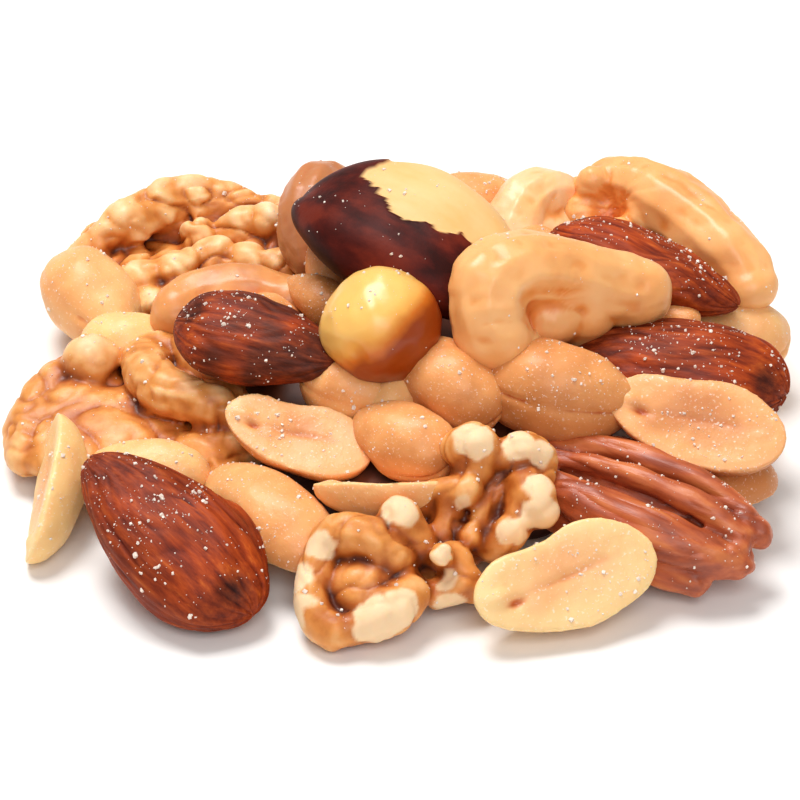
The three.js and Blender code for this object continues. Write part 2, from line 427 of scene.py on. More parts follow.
face_shade = add_node(
    tree, "MapRange", {}, {"Value": face_brownness.outputs["Value"], "From Min": 0.6, "From Max": 1.5}
)
face_colour = add_node(
    tree, "ValToRGB", {}, {"Fac": face_shade.outputs["Result"]},
    [(0.05, "#f4d092"), (0.3, "#f2c284"), (0.5, "#efae74"), (0.72, "#e8a466"), (0.95, "#cc8048")],
)
is_face = add_node(
    tree, "MapRange", {}, {"Value": mark.outputs["Fac"], "From Min": 0.1, "From Max": 0.3}
)
kernel_colour = add_node(
    tree, "Mix", {"data_type": "RGBA"},
    {"Factor": is_face.outputs["Result"], 6: back_colour.outputs["Color"], 7: face_colour.outputs["Color"]},
)
# Painted shade: creases such as the seam are darkened towards orange-brown by how deep in a fold they lie.
crease_shade = add_node(
    tree, "ValToRGB", {}, {"Fac": hollow.outputs["Fac"]}, [(0.55, "#ffffff"), (0.95, "#e0a070")]
)
shaded_kernel = add_node(
    tree, "Mix", {"data_type": "RGBA", "blend_type": "MULTIPLY"},
    {"Factor": 1.0, 6: kernel_colour.outputs[2], 7: crease_shade.outputs["Color"]},
)
dust = add_node(
    tree, "TexNoise", {}, {"Vector": on_nut.outputs["Vector"], "Scale": 1 / 0.35, "Detail": 2}
)
dust_cover = add_node(
    tree, "MapRange", {}, {"Value": dust.outputs["Fac"], "From Min": 0.62, "From Max": 0.72, "To Max": 0.45}
)
salted_kernel = add_node(
    tree, "Mix", {"data_type": "RGBA"},
    {"Factor": dust_cover.outputs["Result"], 6: shaded_kernel.outputs[2], 7: linear("#fdeedd")},
)
bump = add_node(tree, "Bump", {}, {"Height": dust.outputs["Fac"], "Strength": 0.35, "Distance": 0.10 * mm})
set_sockets(tree, shader, {
    "Base Color": salted_kernel.outputs[2], "Normal": bump.outputs["Normal"],
    "Roughness": 0.42, "Specular IOR Level": 0.4,
    "Subsurface Weight": 0.2, "Subsurface Radius": (1.0, 0.4, 0.15), "Subsurface Scale": 1.0 * mm,
})
dress(peanuts, fried_peanut)


# --- Split peanuts ----------------------------------------------------------------------------
# Peanuts that came apart at the seam: a rounded back, and a flat face with a shallow trough down
# its middle and the little germ, or the notch it left, at one end.
half_length = 19.5
half_width = 10.5
half_thickness = 5.2
half_rim = 1.1
half_waist = Vector((-2.2, -5.1, 0))
half_germ_x = -7.2
half_notch = Vector((-5.6, 1.0, 0))
half_voxel = 0.31 * mm
cut_threshold = 0.001 * mm

# x, y, z, heading, pitch, roll, size, and how brown the half is from 0 to 1.
half_places = [
    (-38.9, -15.7, 5.4, 84, 20, 112, 0.94, 0.05),
    (-14.2, -21.2, 5.0, -48, -5, 0, 0.97, 0.48),
    (-11.2, -13.5, 11.2, -18, -10, 200, 0.87, 0.58),
    (16.9, -32.9, 6.6, 20, 5, 228, 1.04, 0.05),
    (31.3, -13.8, 13.3, -18, -8, 210, 1.03, 0.74),
    (-1.6, -20.3, 9.4, 0, 0, 142, 0.82, 0.30),
    (-27.3, -13.6, 6.0, -10, 0, 0, 0.70, 0.20),
    # Painted shade: this half lies under the one above it, and its brownness is raised for the shade it
    # lies in.
    (33.0, -14.6, 4.2, 20, 0, 0, 0.82, 0.9),
    (6.3, 31.0, 11.4, 10, 0, 10, 0.85, 0.50),
    (-9.3, 8.0, 13.8, -40, 0, 20, 0.55, 0.75),
    (30.0, 7.6, 12.0, -60, 10, 30, 0.50, 0.60),
    (0.2, -6.0, 11.6, 60, 0, 60, 0.70, 0.30),
    (30.5, 30.8, 4.6, -50, 0, 180, 1.00, 0.30),
]


def half_relief(spot, shift):
    """On the flat face its trough, the line down it, the germ and the notch, and lumps all over."""
    along, across = spot.x / (half_length / 2), spot.y / (half_width / 2)
    off_middle = math.hypot(along, across)
    face = 1 if spot.z < 0.35 else 0
    middle = max(0, 1 - off_middle**2)
    germ = math.exp(-(((spot.x - half_germ_x) / 1.3) ** 2 + (spot.y / 0.8) ** 2))
    off_notch = spot - half_notch
    notch = math.exp(-((off_notch.x / 0.9) ** 2 + (off_notch.y / 0.5) ** 2))
    seam = math.exp(-(((spot.x - 0.5) / 3.4) ** 2 + ((spot.y + 0.12 * spot.x) / 0.5) ** 2))
    lumps = 0.3 * noise.noise(spot / 4.5 + shift) + 0.06 * noise.noise(spot / 1.0 + shift)
    push = face * (0.5 * germ - 0.45 * middle - 0.6 * notch - 0.22 * seam)
    return lumps + push, face * min(1.3, 0.25 + 0.75 * middle + 0.3 * notch + 0.3 * seam)


def pull(piece, chosen, move, reach, falloff):
    """Pulls the points that chosen picks by a move in mm, and with them the surface round them."""
    only(piece)
    bpy.ops.object.mode_set(mode="EDIT")
    bpy.ops.mesh.select_all(action="DESELECT")
    bpy.ops.object.mode_set(mode="OBJECT")
    for point in piece.data.vertices:
        point.select = chosen(point.co / mm)
    bpy.ops.object.mode_set(mode="EDIT")
    bpy.ops.transform.translate(
        value=[step * mm for step in move], use_proportional_edit=True,
        proportional_edit_falloff=falloff, proportional_size=reach * mm,
    )
    bpy.ops.object.mode_set(mode="OBJECT")


def cut_flat(piece):
    """Cuts a piece off at z = 0 and closes it. The new face is left selected, in edit mode."""
    only(piece)
    bpy.ops.object.mode_set(mode="EDIT")
    bpy.ops.mesh.select_all(action="SELECT")
    bpy.ops.mesh.bisect(
        plane_co=(0, 0, 0), plane_no=(0, 0, 1), use_fill=True, clear_inner=True, threshold=cut_threshold
    )


half = ball("half", (half_length / 2, half_width / 2, half_thickness), segments=64, rings=44)
cut_flat(half)
bpy.ops.mesh.inset(thickness=half_rim * mm)
bpy.ops.transform.translate(value=(0, 0, -0.25 * mm))
bpy.ops.object.mode_set(mode="OBJECT")
modify(half, "SIMPLE_DEFORM", deform_method="TAPER", deform_axis="X", factor=0.2)
pull(half, lambda spot: (spot - half_waist).length < 0.7, move=(0, 0.9, 0), reach=5, falloff="SMOOTH")
modify(half, "REMESH", mode="VOXEL", voxel_size=half_voxel)
modify(half, "SMOOTH", factor=0.5, iterations=4)
halves = heap_up("peanut_halves", half, half_relief, half_places)
note_hollows(halves, depth=0.2, passes=14)
dress(halves, fried_peanut)


# --- Cashews ----------------------------------------------------------------------------------
# Whole fried cashews: thick smooth horseshoes, fatter at one end, with a soft crease in the hollow
# of the bend and a few puckers where they dried.
cashew_voxel = 0.295 * mm

# The bend that the two small cashews share from its second point on, as x, y, z and half thickness.
small_bend = [
    (-7.6, 0.6, 0, 5.1), (-4.4, 5.0, 0, 5.4), (1.4, 6.0, 0, 5.2), (6.6, 2.8, 0, 4.8), (7.0, -3.4, 0, 3.9)
]

# x, y, z, heading, pitch, roll, size, and how brown the nut is from 0 to 1. Then come the middle of
# its hollow and how hard it is puckered there, the points of its bend, and lumps on its ends.
cashews_laid = [
    ((16.5, -1.6, 18.6, 22, 0, 60, 1.0, 0.30), (-0.4, 1.4, 3.6), 0.3,
     [(-7.6, -0.9, 1.2, 4.1), (-8.6, 3.6, 1.2, 5.0), (-4.6, 6.0, 0.8, 4.7), (0.6, 4.4, -0.6, 4.5),
      (5.5, 2.2, -1.2, 4.5), (10.2, -0.1, -1.2, 3.8)],
     [(-5.4, -2.6, 1.4, 2.5), (0.2, 0.2, -1.6, 4.2), (3.6, -0.4, -1.8, 4.0)]),
    ((29.4, 20.6, 12.4, -42, 0, 42, 1.0, 0.35), (-7.0, 2.2, 3.4), 0.75,
     [(-9.7, 1.6, 0, 3.0), (-10.9, 4.0, 0, 3.7), (-7.7, 5.8, 0, 3.7), (-2.7, 5.5, 0, 4.2),
      (3.9, 4.4, 0, 4.2), (9.9, 2.6, 0, 3.9), (12.6, 0.6, 0, 3.1)],
     [(-10.6, 0.2, 1.8, 2.4), (-5.2, -0.2, 2.6, 2.0), (-8.0, -1.8, 1.8, 2.0), (-12.8, 2.4, 1.0, 2.2),
      (-10.4, 3.4, 3.0, 2.2), (-4.0, 3.4, -0.5, 3.8)]),
    ((16.4, 26.5, 10.6, 60, 30, 60, 0.75, 0.0), (0, -3, 3.0), 0.2,
     [(-6.4, -4.4, 0, 4.2)] + small_bend,
     [(-1.5, 1.5, 0.4, 5.8), (1.5, 0.0, 0.6, 4.8)]),
    ((-8.0, 26.0, 11.7, 80, 10, 60, 0.78, 1.0), (0, -3, 3.0), 0.3,
     [(-6.4, -5.0, 0, 4.2)] + small_bend,
     []),
    ((-19.6, 10.2, 11.0, -2, 0, 0, 1.0, 0.70), (-3.6, -3.4, 3.6), 0.2,
     [(-5.4, -1.4, 0.2, 3.8), (-3.0, 0.6, 0.8, 4.2), (2.0, 1.4, 0.8, 4.1), (6.4, 0.4, 0.6, 3.8)],
     []),
]


def tube(line):
    """A smooth tube through the points of a line, as thick as each says, with round ends."""
    curve = bpy.data.curves.new("tube", "CURVE")
    curve.dimensions = "3D"
    curve.bevel_depth = mm
    curve.bevel_resolution = 3
    curve.resolution_u = 4
    curve.use_fill_caps = True
    spline = curve.splines.new("NURBS")
    spline.points.add(len(line) - 1)
    spline.order_u = 3
    spline.use_endpoint_u = True
    for point, (x, y, z, half_thick) in zip(spline.points, line):
        point.co = (x * mm, y * mm, z * mm, 1)
        point.radius = half_thick
    piece = bpy.data.objects.new("tube", curve)
    bpy.context.scene.collection.objects.link(piece)
    only(piece)
    bpy.ops.object.convert(target="MESH")
    return [piece, lump(*line[0]), lump(*line[-1])]


def lump(x, y, z, half_thick):
    """A ball that rounds the end of a tube or stands out from it."""
    return ball("lump", (half_thick, half_thick, half_thick), segments=24, rings=16, middle=(x, y, z))


def cashew_relief(spot, shift, hollow, pucker):
    """Broad swellings, soft wrinkles along the bend, and puckers that fan out from its hollow."""
    out = spot - Vector(hollow)
    puckers = abs(noise.noise(Vector((3.5 * math.atan2(out.y, out.x), out.length / 5, 0)) + shift))
    near = math.exp(-((out.length / 4.2) ** 2))
    along = Vector((spot.x / 6, spot.y / 2.4, spot.z / 2.4))
    wrinkle = abs(noise.noise(along + shift))
    swelling = 0.7 * noise.noise(spot / 5 + shift) + 0.12 * noise.noise(spot / 1.8 + shift)
    dip = pucker * (1.6 * near**3 + 0.45 * math.sqrt(near) * (0.35 - puckers))
    return swelling - dip + 0.2 * wrinkle, 0.0


cashew_nuts = []
for number, (place, hollow, pucker, line, lumps) in enumerate(cashews_laid):
    cashew = one_piece("cashew", tube(line) + [lump(*spot) for spot in lumps])
    modify(cashew, "REMESH", mode="VOXEL", voxel_size=cashew_voxel)
    modify(cashew, "SMOOTH", factor=0.5, iterations=6)
    carve(cashew, lambda spot, shift: cashew_relief(spot, shift, hollow, pucker), number)
    lay(cashew, place)
    cashew_nuts.append(cashew)
cashews = one_piece("cashews", cashew_nuts)
note_hollows(cashews, depth=0.35, passes=50)

# Fried cashew: like the peanut's but denser and smoother, golden, with painted shade that turns its
# creases deeper orange, and glossier with oil.
fried_cashew, tree, shader = new_material("fried_cashew")
on_nut = add_node(tree, "Attribute", {"attribute_name": "on_nut"})
hollow = add_node(tree, "Attribute", {"attribute_name": "hollow"})
tone = add_node(tree, "Attribute", {"attribute_name": "tone"})
browning = add_node(
    tree, "TexNoise", {}, {"Vector": on_nut.outputs["Vector"], "Scale": 1 / 6, "Detail": 3}
)
uneven_brown = add_node(
    tree, "Math", {"operation": "MULTIPLY_ADD"}, {0: browning.outputs["Fac"], 1: 0.6, 2: 0.2}
)
brownness = add_node(
    tree, "Math", {"operation": "MULTIPLY_ADD"},
    {0: tone.outputs["Fac"], 1: 0.6, 2: uneven_brown.outputs["Value"]},
)
kernel_colour = add_node(
    tree, "ValToRGB", {}, {"Fac": brownness.outputs["Value"]},
    [(0.48, "#fac894"), (0.6, "#f5b878"), (0.74, "#f0aa66"), (0.9, "#dd9050"), (1.0, "#c07846")],
)
# Painted shade: the deeper a point lies in a crease or in the hollow of the bend, the more it is darkened
# to orange.
crease_shade = add_node(
    tree, "ValToRGB", {}, {"Fac": hollow.outputs["Fac"]},
    [(0.48, "#ffffff"), (0.62, "#f6d6ac"), (0.95, "#dca06c")],
)
shaded_kernel = add_node(
    tree, "Mix", {"data_type": "RGBA", "blend_type": "MULTIPLY"},
    {"Factor": 1.0, 6: kernel_colour.outputs["Color"], 7: crease_shade.outputs["Color"]},
)
pores = add_node(
    tree, "TexNoise", {}, {"Vector": on_nut.outputs["Vector"], "Scale": 1 / 0.6, "Detail": 3}
)
bump = add_node(tree, "Bump", {}, {"Height": pores.outputs["Fac"], "Strength": 0.25, "Distance": 0.10 * mm})
set_sockets(tree, shader, {
    "Base Color": shaded_kernel.outputs[2], "Normal": bump.outputs["Normal"], "Roughness": 0.38,
    "Subsurface Weight": 0.2, "Subsurface Radius": (1.0, 0.4, 0.15), "Subsurface Scale": 1.0 * mm,
})
dress(cashews, fried_cashew)


# --- Walnuts ----------------------------------------------------------------------------------
# Walnut kernels, two halves and a broken piece: a shallow dish whose crinkled rim and ridges are
# folds of the kernel, in a thin shiny skin that is torn off where they broke.
walnut_voxel = 0.3 * mm

# Each kernel has its middle, how dark its skin is, over how many mm the skin tears off, how strong
# its crinkles are, how often it is smoothed before them, its masses (a middle and three half
# lengths), its folds (x, y, z and half thickness of points along each), and the balls (x, y, z and
# radius) within which it is bare.
back_walnut = {
    "middle": (-23.5, 26.6, 0),
    "tone": 0.07,
    "tear": 2.8,
    "crinkle": 1.0,
    "soften": 5,
    "masses": [((0, 1, 3.4), (13, 10.5, 4.0)), ((0, -6, 4.6), (9, 4.4, 3.8)),
               ((8, 3, 5.6), (5, 5.6, 3.6)), ((-1, 7.4, 5.2), (9.5, 3.0, 3.8)),
               ((-8, 0, 4.4), (5, 5.5, 3.2))],
    "folds": [
        [(-13.6, 2.8, 5.8, 2.3), (-12.3, 3.8, 7.2, 2.9), (-10.6, 4.3, 8.0, 2.4), (-8.8, 5.2, 9.2, 3.2),
         (-7.4, 6.4, 9.4, 2.4), (-5.6, 8.0, 9.8, 3.3), (-3.6, 8.8, 9.5, 2.7), (-1.6, 9.4, 9.8, 3.2),
         (0.8, 9.8, 9.4, 2.6), (3.2, 9.7, 9.0, 3.0), (5.8, 9.0, 8.3, 2.5), (8.2, 8.2, 7.8, 2.9),
         (10.2, 6.8, 7.4, 2.5), (12.0, 5.2, 6.8, 2.8), (13.2, 2.6, 6.0, 2.3)],
        [(2.9, 4.6, 8.4, 1.9), (4.6, 4.4, 9.4, 2.5), (6.4, 4.6, 9.0, 2.0), (8.0, 4.3, 9.8, 2.7),
         (9.8, 3.2, 8.9, 2.1), (11.3, 1.6, 8.5, 2.7), (11.8, -1.0, 7.4, 2.3)],
        [(-0.8, 3.9, 5.6, 2.0), (-0.6, 4.1, 8.2, 2.2)],
        [(-0.6, 3.6, 6.2, 1.5), (1.6, 1.8, 6.6, 1.6), (2.6, -0.4, 7.0, 1.7)],
        [(-8.6, -3.4, 6.0, 2.2), (-6.8, -4.2, 7.0, 2.7), (-4.8, -3.4, 7.0, 2.1), (-3.0, -3.4, 7.6, 2.6),
         (-0.8, -1.6, 7.4, 2.0), (1.5, -0.3, 7.9, 2.5), (3.4, -1.2, 7.5, 2.0), (5.2, -1.7, 7.9, 2.5),
         (7.4, -1.4, 7.1, 2.0), (9.7, -1.8, 7.4, 2.5)],
        [(-10.7, 0.5, 5.0, 2.4), (-9.4, -3.0, 4.6, 2.4), (-5.0, -7.0, 5.2, 2.8)],
        [(6.8, -6.3, 5.4, 3.0), (10.4, -4.6, 5.4, 2.6)],
    ],
    "bare": [(-5.6, 8.0, 12.6, 1.5), (-1.2, 9.2, 12.4, 1.7), (8.3, 3.0, 12.0, 1.6)],
}
left_walnut = {
    "middle": (-31, -3, 0),
    "tone": 0.095,
    "tear": 3.2,
    "crinkle": 0.55,
    "soften": 9,
    "masses": [((-1, 0, 3.8), (12.4, 10, 4.2)), ((6.5, 3, 6.0), (4.5, 5, 3.6)),
               ((-5, 3, 4.6), (5.4, 6.4, 3.6))],
    "folds": [
        [(-10.4, -4.0, 3.6, 2.6), (-10.4, -0.6, 4.4, 2.8), (-9.3, 3.4, 5.2, 2.8), (-7.4, 7.0, 6.0, 2.8),
         (-3.8, 8.4, 6.2, 2.6), (0.0, 9.2, 6.4, 2.4)],
        [(-3.4, 4.8, 5.4, 2.6), (-3.8, 6.9, 8.4, 3.3)],
        [(2.2, 7.4, 8.6, 2.5), (2.6, 4.8, 9.4, 2.8), (3.2, 2.0, 9.7, 2.9), (4.7, -1.0, 9.8, 2.8),
         (7.5, -2.2, 9.8, 2.7), (10.2, -3.2, 9.6, 2.5), (12.2, -3.4, 8.4, 2.1)],
        [(2.6, 8.5, 9.0, 2.0), (5.8, 7.9, 9.2, 2.5), (8.6, 5.7, 8.8, 2.6), (11.0, 2.6, 8.2, 2.7),
         (12.2, -0.4, 7.6, 2.4)],
        [(-8.0, 1.5, 5.2, 1.3), (-4.0, 2.4, 6.0, 1.3), (-0.5, 1.0, 6.2, 1.2), (2.4, -2.4, 5.4, 1.1)],
        [(-8.0, -3.6, 4.4, 2.4), (-4.6, -2.6, 5.2, 2.2), (-1.9, -4.8, 5.0, 2.4)],
        [(-2.2, -1.4, 5.2, 1.5), (1.5, -4.2, 5.0, 1.5), (4.2, -7.4, 4.6, 2.2)],
        [(7.4, -5.2, 5.0, 2.2), (10.0, -6.2, 6.6, 3.0), (10.8, -8.6, 4.2, 2.5)],
        [(10.4, -6.0, 6.0, 2.4), (13.2, -6.2, 5.6, 2.4), (14.8, -4.6, 5.0, 2.0)],
    ],
    "bare": [(-3.8, 6.2, 11.6, 2.6), (7.6, -3.0, 12.6, 1.8), (11.0, -3.4, 12.0, 1.5)],
}
front_walnut = {
    "middle": (1.9, -27, 0),
    "tone": 0.15,
    "tear": 0.35,
    "crinkle": 0.5,
    "soften": 8,
    "masses": [((0.4, 1.6, 4.4), (3.4, 3.4, 3.2)), ((3.1, 3.4, 4.4), (3.8, 3.8, 3.4)),
               ((6.3, 4.4, 5.4), (3.6, 3.6, 3.4)), ((8.6, 7.6, 6.4), (3.4, 4.4, 3.4)),
               ((-5.8, -4.2, 3.8), (4.6, 4.4, 3.4))],
    "folds": [
        [(-1.6, -3.4, 4.0, 2.0), (-2.6, -3.1, 6.2, 2.2), (-3.7, -2.3, 7.6, 2.4), (-5.4, -1.7, 8.6, 2.5),
         (-7.3, -1.3, 8.8, 2.5), (-9.0, -0.9, 8.0, 2.3), (-10.3, -1.4, 6.8, 2.1), (-11.0, -3.0, 5.8, 2.0),
         (-11.3, -5.0, 4.8, 2.0), (-11.2, -7.0, 3.6, 2.0), (-10.4, -8.6, 2.6, 2.1), (-8.8, -9.3, 2.2, 2.1)],
        [(-8.8, -9.3, 2.2, 1.9), (-7.5, -8.9, 2.2, 2.0), (-5.8, -8.5, 2.8, 2.4), (-3.9, -8.3, 3.6, 2.7),
         (-2.3, -7.5, 4.2, 2.6), (-1.3, -6.0, 4.4, 2.2)],
        [(-2.8, -4.6, 5.2, 1.1), (-5.2, -6.0, 4.9, 1.0), (-7.5, -6.9, 3.9, 1.0)],
        [(-2.3, 0.6, 9.4, 2.4), (-1.8, 0.6, 7.8, 2.5), (-0.8, -0.2, 6.2, 2.5)],
        [(-0.5, 4.2, 8.2, 1.6), (1.0, 4.5, 9.4, 1.7), (2.7, 4.1, 10.2, 1.8), (4.5, 3.8, 10.6, 1.9)],
        [(2.7, 4.1, 10.0, 1.8), (3.1, 3.4, 8.2, 1.8), (2.4, 1.8, 6.8, 1.8)],
        [(4.2, 8.0, 13.2, 2.2), (5.2, 7.5, 14.2, 2.5), (6.2, 7.5, 14.0, 2.4), (6.1, 7.0, 12.6, 2.2),
         (5.2, 6.3, 11.2, 2.2), (4.8, 5.3, 9.6, 2.0)],
        [(6.2, 7.8, 13.4, 2.0), (7.8, 7.4, 12.4, 1.7), (9.3, 7.5, 12.6, 2.1), (10.6, 8.0, 13.2, 2.2),
         (12.0, 8.1, 12.6, 2.0), (13.1, 7.5, 11.6, 1.7), (12.8, 6.7, 10.6, 1.7)],
        [(10.6, 5.4, 10.4, 2.0), (11.8, 4.2, 10.8, 2.2), (11.9, 2.7, 9.8, 2.5), (12.7, 2.2, 8.8, 1.9)],
        [(10.9, 4.0, 9.8, 2.0), (10.4, 2.0, 8.6, 1.9), (9.5, 0.6, 7.4, 2.1), (7.6, 1.0, 5.6, 2.2)],
        [(8.9, 6.3, 10.4, 1.2), (7.3, 4.0, 9.4, 1.2), (6.1, 2.0, 8.2, 1.2), (5.2, 0.2, 7.0, 1.3)],
        [(2.1, -1.6, 5.6, 1.3), (2.1, -3.6, 7.6, 1.2), (2.1, -4.5, 8.6, 1.4)],
        [(3.6, -2.0, 6.0, 1.9), (4.4, -3.2, 4.6, 1.9), (3.3, -3.8, 3.2, 1.9), (1.6, -4.2, 3.2, 1.8)],
        [(4.4, -3.4, 4.6, 1.9), (5.6, -3.6, 3.6, 1.8)],
    ],
    "bare": [(-10.4, -2.4, 8.2, 2.0), (-12.2, -4.8, 5.4, 2.2), (-11.8, -7.6, 3.6, 2.0),
             (-4.6, -10.2, 4.2, 3.0), (-2.2, -9.6, 5.0, 2.6), (-2.3, -0.4, 11.4, 2.2),
             (4.4, 1.4, 10.4, 1.4), (5.4, 5.8, 16.2, 2.8), (10.2, 6.4, 15.0, 2.4), (12.6, 6.6, 13.6, 1.8),
             (12.2, 2.4, 12.6, 2.2), (12.6, 0.6, 10.0, 2.4), (9.6, -0.8, 8.6, 2.0), (2.1, -5.4, 9.4, 1.6),
             (3.0, -5.8, 2.6, 2.0), (2.4, -4.8, 5.2, 1.3)],
}


def walnut_relief(spot, shift, crinkle):
    """Broad smooth crinkles with creases between them, and finer ones on those."""
    wander = 1.6 * noise.noise_vector(spot / 5 + shift)
    fold = abs(noise.noise((spot + wander) / 5.5 + shift))
    fine = abs(noise.noise((spot + wander) / 2.2 - shift))
    crease = max(0, 1 - 14 * fold)
    return crinkle * (1.3 * min(fold, 0.5) + 0.6 * fine - 0.25 * crease - 0.4), 0.0


def fused(name, masses, folds, voxel_size, soften):
    """A kernel's masses and folds, fused into one skin that is smoothed soften times."""
    parts = [ball("mass", reach, segments=32, rings=24, middle=middle) for middle, reach in masses]
    for line in folds:
        parts.extend(tube(line))
    piece = one_piece(name, parts)
    modify(piece, "REMESH", mode="VOXEL", voxel_size=voxel_size)
    modify(piece, "SMOOTH", factor=0.5, iterations=soften)
    return piece


def bareness(spot, kernel):
    """How bare of skin a walnut kernel is at a spot, from 0 to 1, with a ragged edge."""
    ragged = 0.6 * noise.noise(spot / 1.7) + 0.15 * noise.noise(spot / 0.6)
    torn = 0.0
    for x, y, z, reach in kernel["bare"]:
        torn = max(torn, 0.95 * reach + ragged - (spot - Vector((x, y, z))).length)
    return min(1, torn / kernel["tear"])


def walnut(number, kernel):
    """One kernel, crinkled, laid at its middle, with how bare it is as the attribute mark."""
    piece = fused("walnut", kernel["masses"], kernel["folds"], walnut_voxel, kernel["soften"])
    carve(piece, lambda spot, shift: walnut_relief(spot, shift, kernel["crinkle"]), number)
    mark = piece.data.attributes["mark"].data
    for index, spot in enumerate(piece.data.attributes["on_nut"].data):
        mark[index].value = bareness(spot.vector, kernel)
    lay(piece, (*kernel["middle"], 0, 0, 0, 1, kernel["tone"]))
    return piece


kernels = (back_walnut, left_walnut, front_walnut)
walnuts = one_piece("walnuts", [walnut(number, kernel) for number, kernel in enumerate(kernels)])
note_hollows(walnuts, depth=1.0, passes=110)

# Walnut skin: a thin shiny film, amber over the cream kernel, that lets light in. It is darker deep in
# the folds, partly as the skin gathers there and partly painted shade, and pale cream on the crests,
# partly painted highlight. The kernel is matt and cream where the skin is torn.
walnut_skin, tree, shader = new_material("walnut_skin")
on_nut = add_node(tree, "Attribute", {"attribute_name": "on_nut"})
hollow = add_node(tree, "Attribute", {"attribute_name": "hollow"})
tone = add_node(tree, "Attribute", {"attribute_name": "tone"})
mark = add_node(tree, "Attribute", {"attribute_name": "mark"})
mottle = add_node(
    tree, "TexNoise", {}, {"Vector": on_nut.outputs["Vector"], "Scale": 1 / 3.0, "Detail": 4}
)
# Partly painted shade: the deeper in a fold a point lies, the darker its colour, added to the nut's own
# tone.
fold_shade_and_tone = add_node(
    tree, "Math", {"operation": "MULTIPLY_ADD"},
    {0: hollow.outputs["Fac"], 1: 0.8, 2: tone.outputs["Fac"]},
)
fold_shade_and_mottle = add_node(
    tree, "Math", {"operation": "MULTIPLY_ADD"},
    {0: mottle.outputs["Fac"], 1: 0.35, 2: fold_shade_and_tone.outputs["Value"]},
)
# The palest stop is partly painted highlight on the crests, the darkest partly painted shade at the bottom
# of the folds.
skin = add_node(
    tree, "ValToRGB", {}, {"Fac": fold_shade_and_mottle.outputs["Value"]},
    [(0.36, "#f8dcb0"), (0.5, "#eebc80"), (0.62, "#dc9048"), (0.76, "#ae581c"), (0.9, "#561e08")],
)
torn = add_node(
    tree, "Mix", {"data_type": "RGBA"},
    {"Factor": mark.outputs["Fac"], 6: skin.outputs["Color"], 7: linear("#efcda2")},
)
gloss = add_node(
    tree, "MapRange", {}, {"Value": mark.outputs["Fac"], "To Min": 0.4, "To Max": 0.55}
)
grain = add_node(
    tree, "TexNoise", {}, {"Vector": on_nut.outputs["Vector"], "Scale": 1 / 0.5, "Detail": 4}
)
bump = add_node(tree, "Bump", {}, {"Height": grain.outputs["Fac"], "Strength": 0.3, "Distance": 0.12 * mm})
set_sockets(tree, shader, {
    "Base Color": torn.outputs[2], "Normal": bump.outputs["Normal"],
    "Roughness": gloss.outputs["Result"], "Specular IOR Level": 0.35,
    "Subsurface Weight": 0.3, "Subsurface Radius": (1.0, 0.45, 0.2), "Subsurface Scale": 1.5 * mm,
})
dress(walnuts, walnut_skin)


# --- Pecan ------------------------------------------------------------------------------------
# Half a pecan: long rounded lobes side by side with deep grooves between them, in a thin
# red-brown skin that is finely veined.
pecan_place = (24.9, -21.0, 5.5, -28, -5, 15, 1.0)
pecan_voxel = 0.235 * mm
pecan_masses = [((0, 0, 0.2), (12.0, 6.2, 3.0))]
pecan_folds = [
    [(-12.6, 2.2, 1.6, 1.3), (-8, 4.6, 2.8, 1.5), (-2, 5.2, 3.4, 1.6), (4, 5.0, 3.4, 1.6),
     (9, 4.2, 2.6, 1.6), (12.8, 2.6, 1.4, 1.6)],
    [(-13, 0.8, 2.2, 1.1), (-8, 1.4, 3.8, 1.2), (-2, 1.6, 4.6, 1.3), (4, 1.6, 4.6, 1.4),
     (8.6, 1.2, 3.8, 1.5), (11.6, 0.6, 2.6, 1.4)],
    [(-12.8, -0.8, 1.8, 1.2), (-8, -2.8, 3.4, 2.2), (-2, -3.4, 3.6, 2.7), (4, -3.6, 3.0, 2.9),
     (9, -2.8, 2.0, 2.7), (12.2, -1.4, 1.0, 1.9)],
    [(-9, -3.8, 0.0, 1.4), (-4, -5.2, 0.2, 1.6), (4, -5.8, -0.4, 1.8), (9, -4.8, -0.2, 1.7)],
    [(-10, 5.2, 1.0, 1.4), (-4, 7.0, 1.2, 1.6), (4, 7.0, 1.0, 1.6), (9, 5.6, 0.6, 1.5)],
    [(11.0, 3.0, 2.6, 1.4), (12.4, 0.6, 2.0, 1.4), (11.8, -1.6, 2.4, 1.2)],
]


def pecan_relief(spot, shift):
    """Lengthwise wrinkles on the lobes."""
    wander = spot.y + 1.2 * noise.noise(spot / 6 + shift)
    wrinkle = abs(noise.noise(Vector((spot.x / 8, wander / 1.7, spot.z / 1.7)) + shift))
    dent = noise.noise(spot / 4 - shift)
    return 0.45 * wrinkle + 0.3 * dent - 0.15, 0.0


pecan = fused("pecan", pecan_masses, pecan_folds, pecan_voxel, soften=10)
carve(pecan, pecan_relief, 1)
lay(pecan, pecan_place)
note_hollows(pecan, depth=0.8, passes=120)

# Pecan skin: thin and tight, red-brown with a satin shine. Painted shade makes it almost black where
# it dips between the lobes, and a painted highlight makes the lobe tops a little paler.
pecan_skin, tree, shader = new_material("pecan_skin")
on_nut = add_node(tree, "Attribute", {"attribute_name": "on_nut"})
hollow = add_node(tree, "Attribute", {"attribute_name": "hollow"})
streaks_place = add_node(
    tree, "Mapping", {}, {"Vector": on_nut.outputs["Vector"], "Scale": (0.15, 0.6, 0.6)}
)
streaks = add_node(
    tree, "TexNoise", {}, {"Vector": streaks_place.outputs["Vector"], "Scale": 1.0, "Detail": 5}
)
skin = add_node(
    tree, "ValToRGB", {}, {"Fac": streaks.outputs["Fac"]},
    [(0.35, "#924426"), (0.5, "#b45c34"), (0.65, "#cc7844")],
)
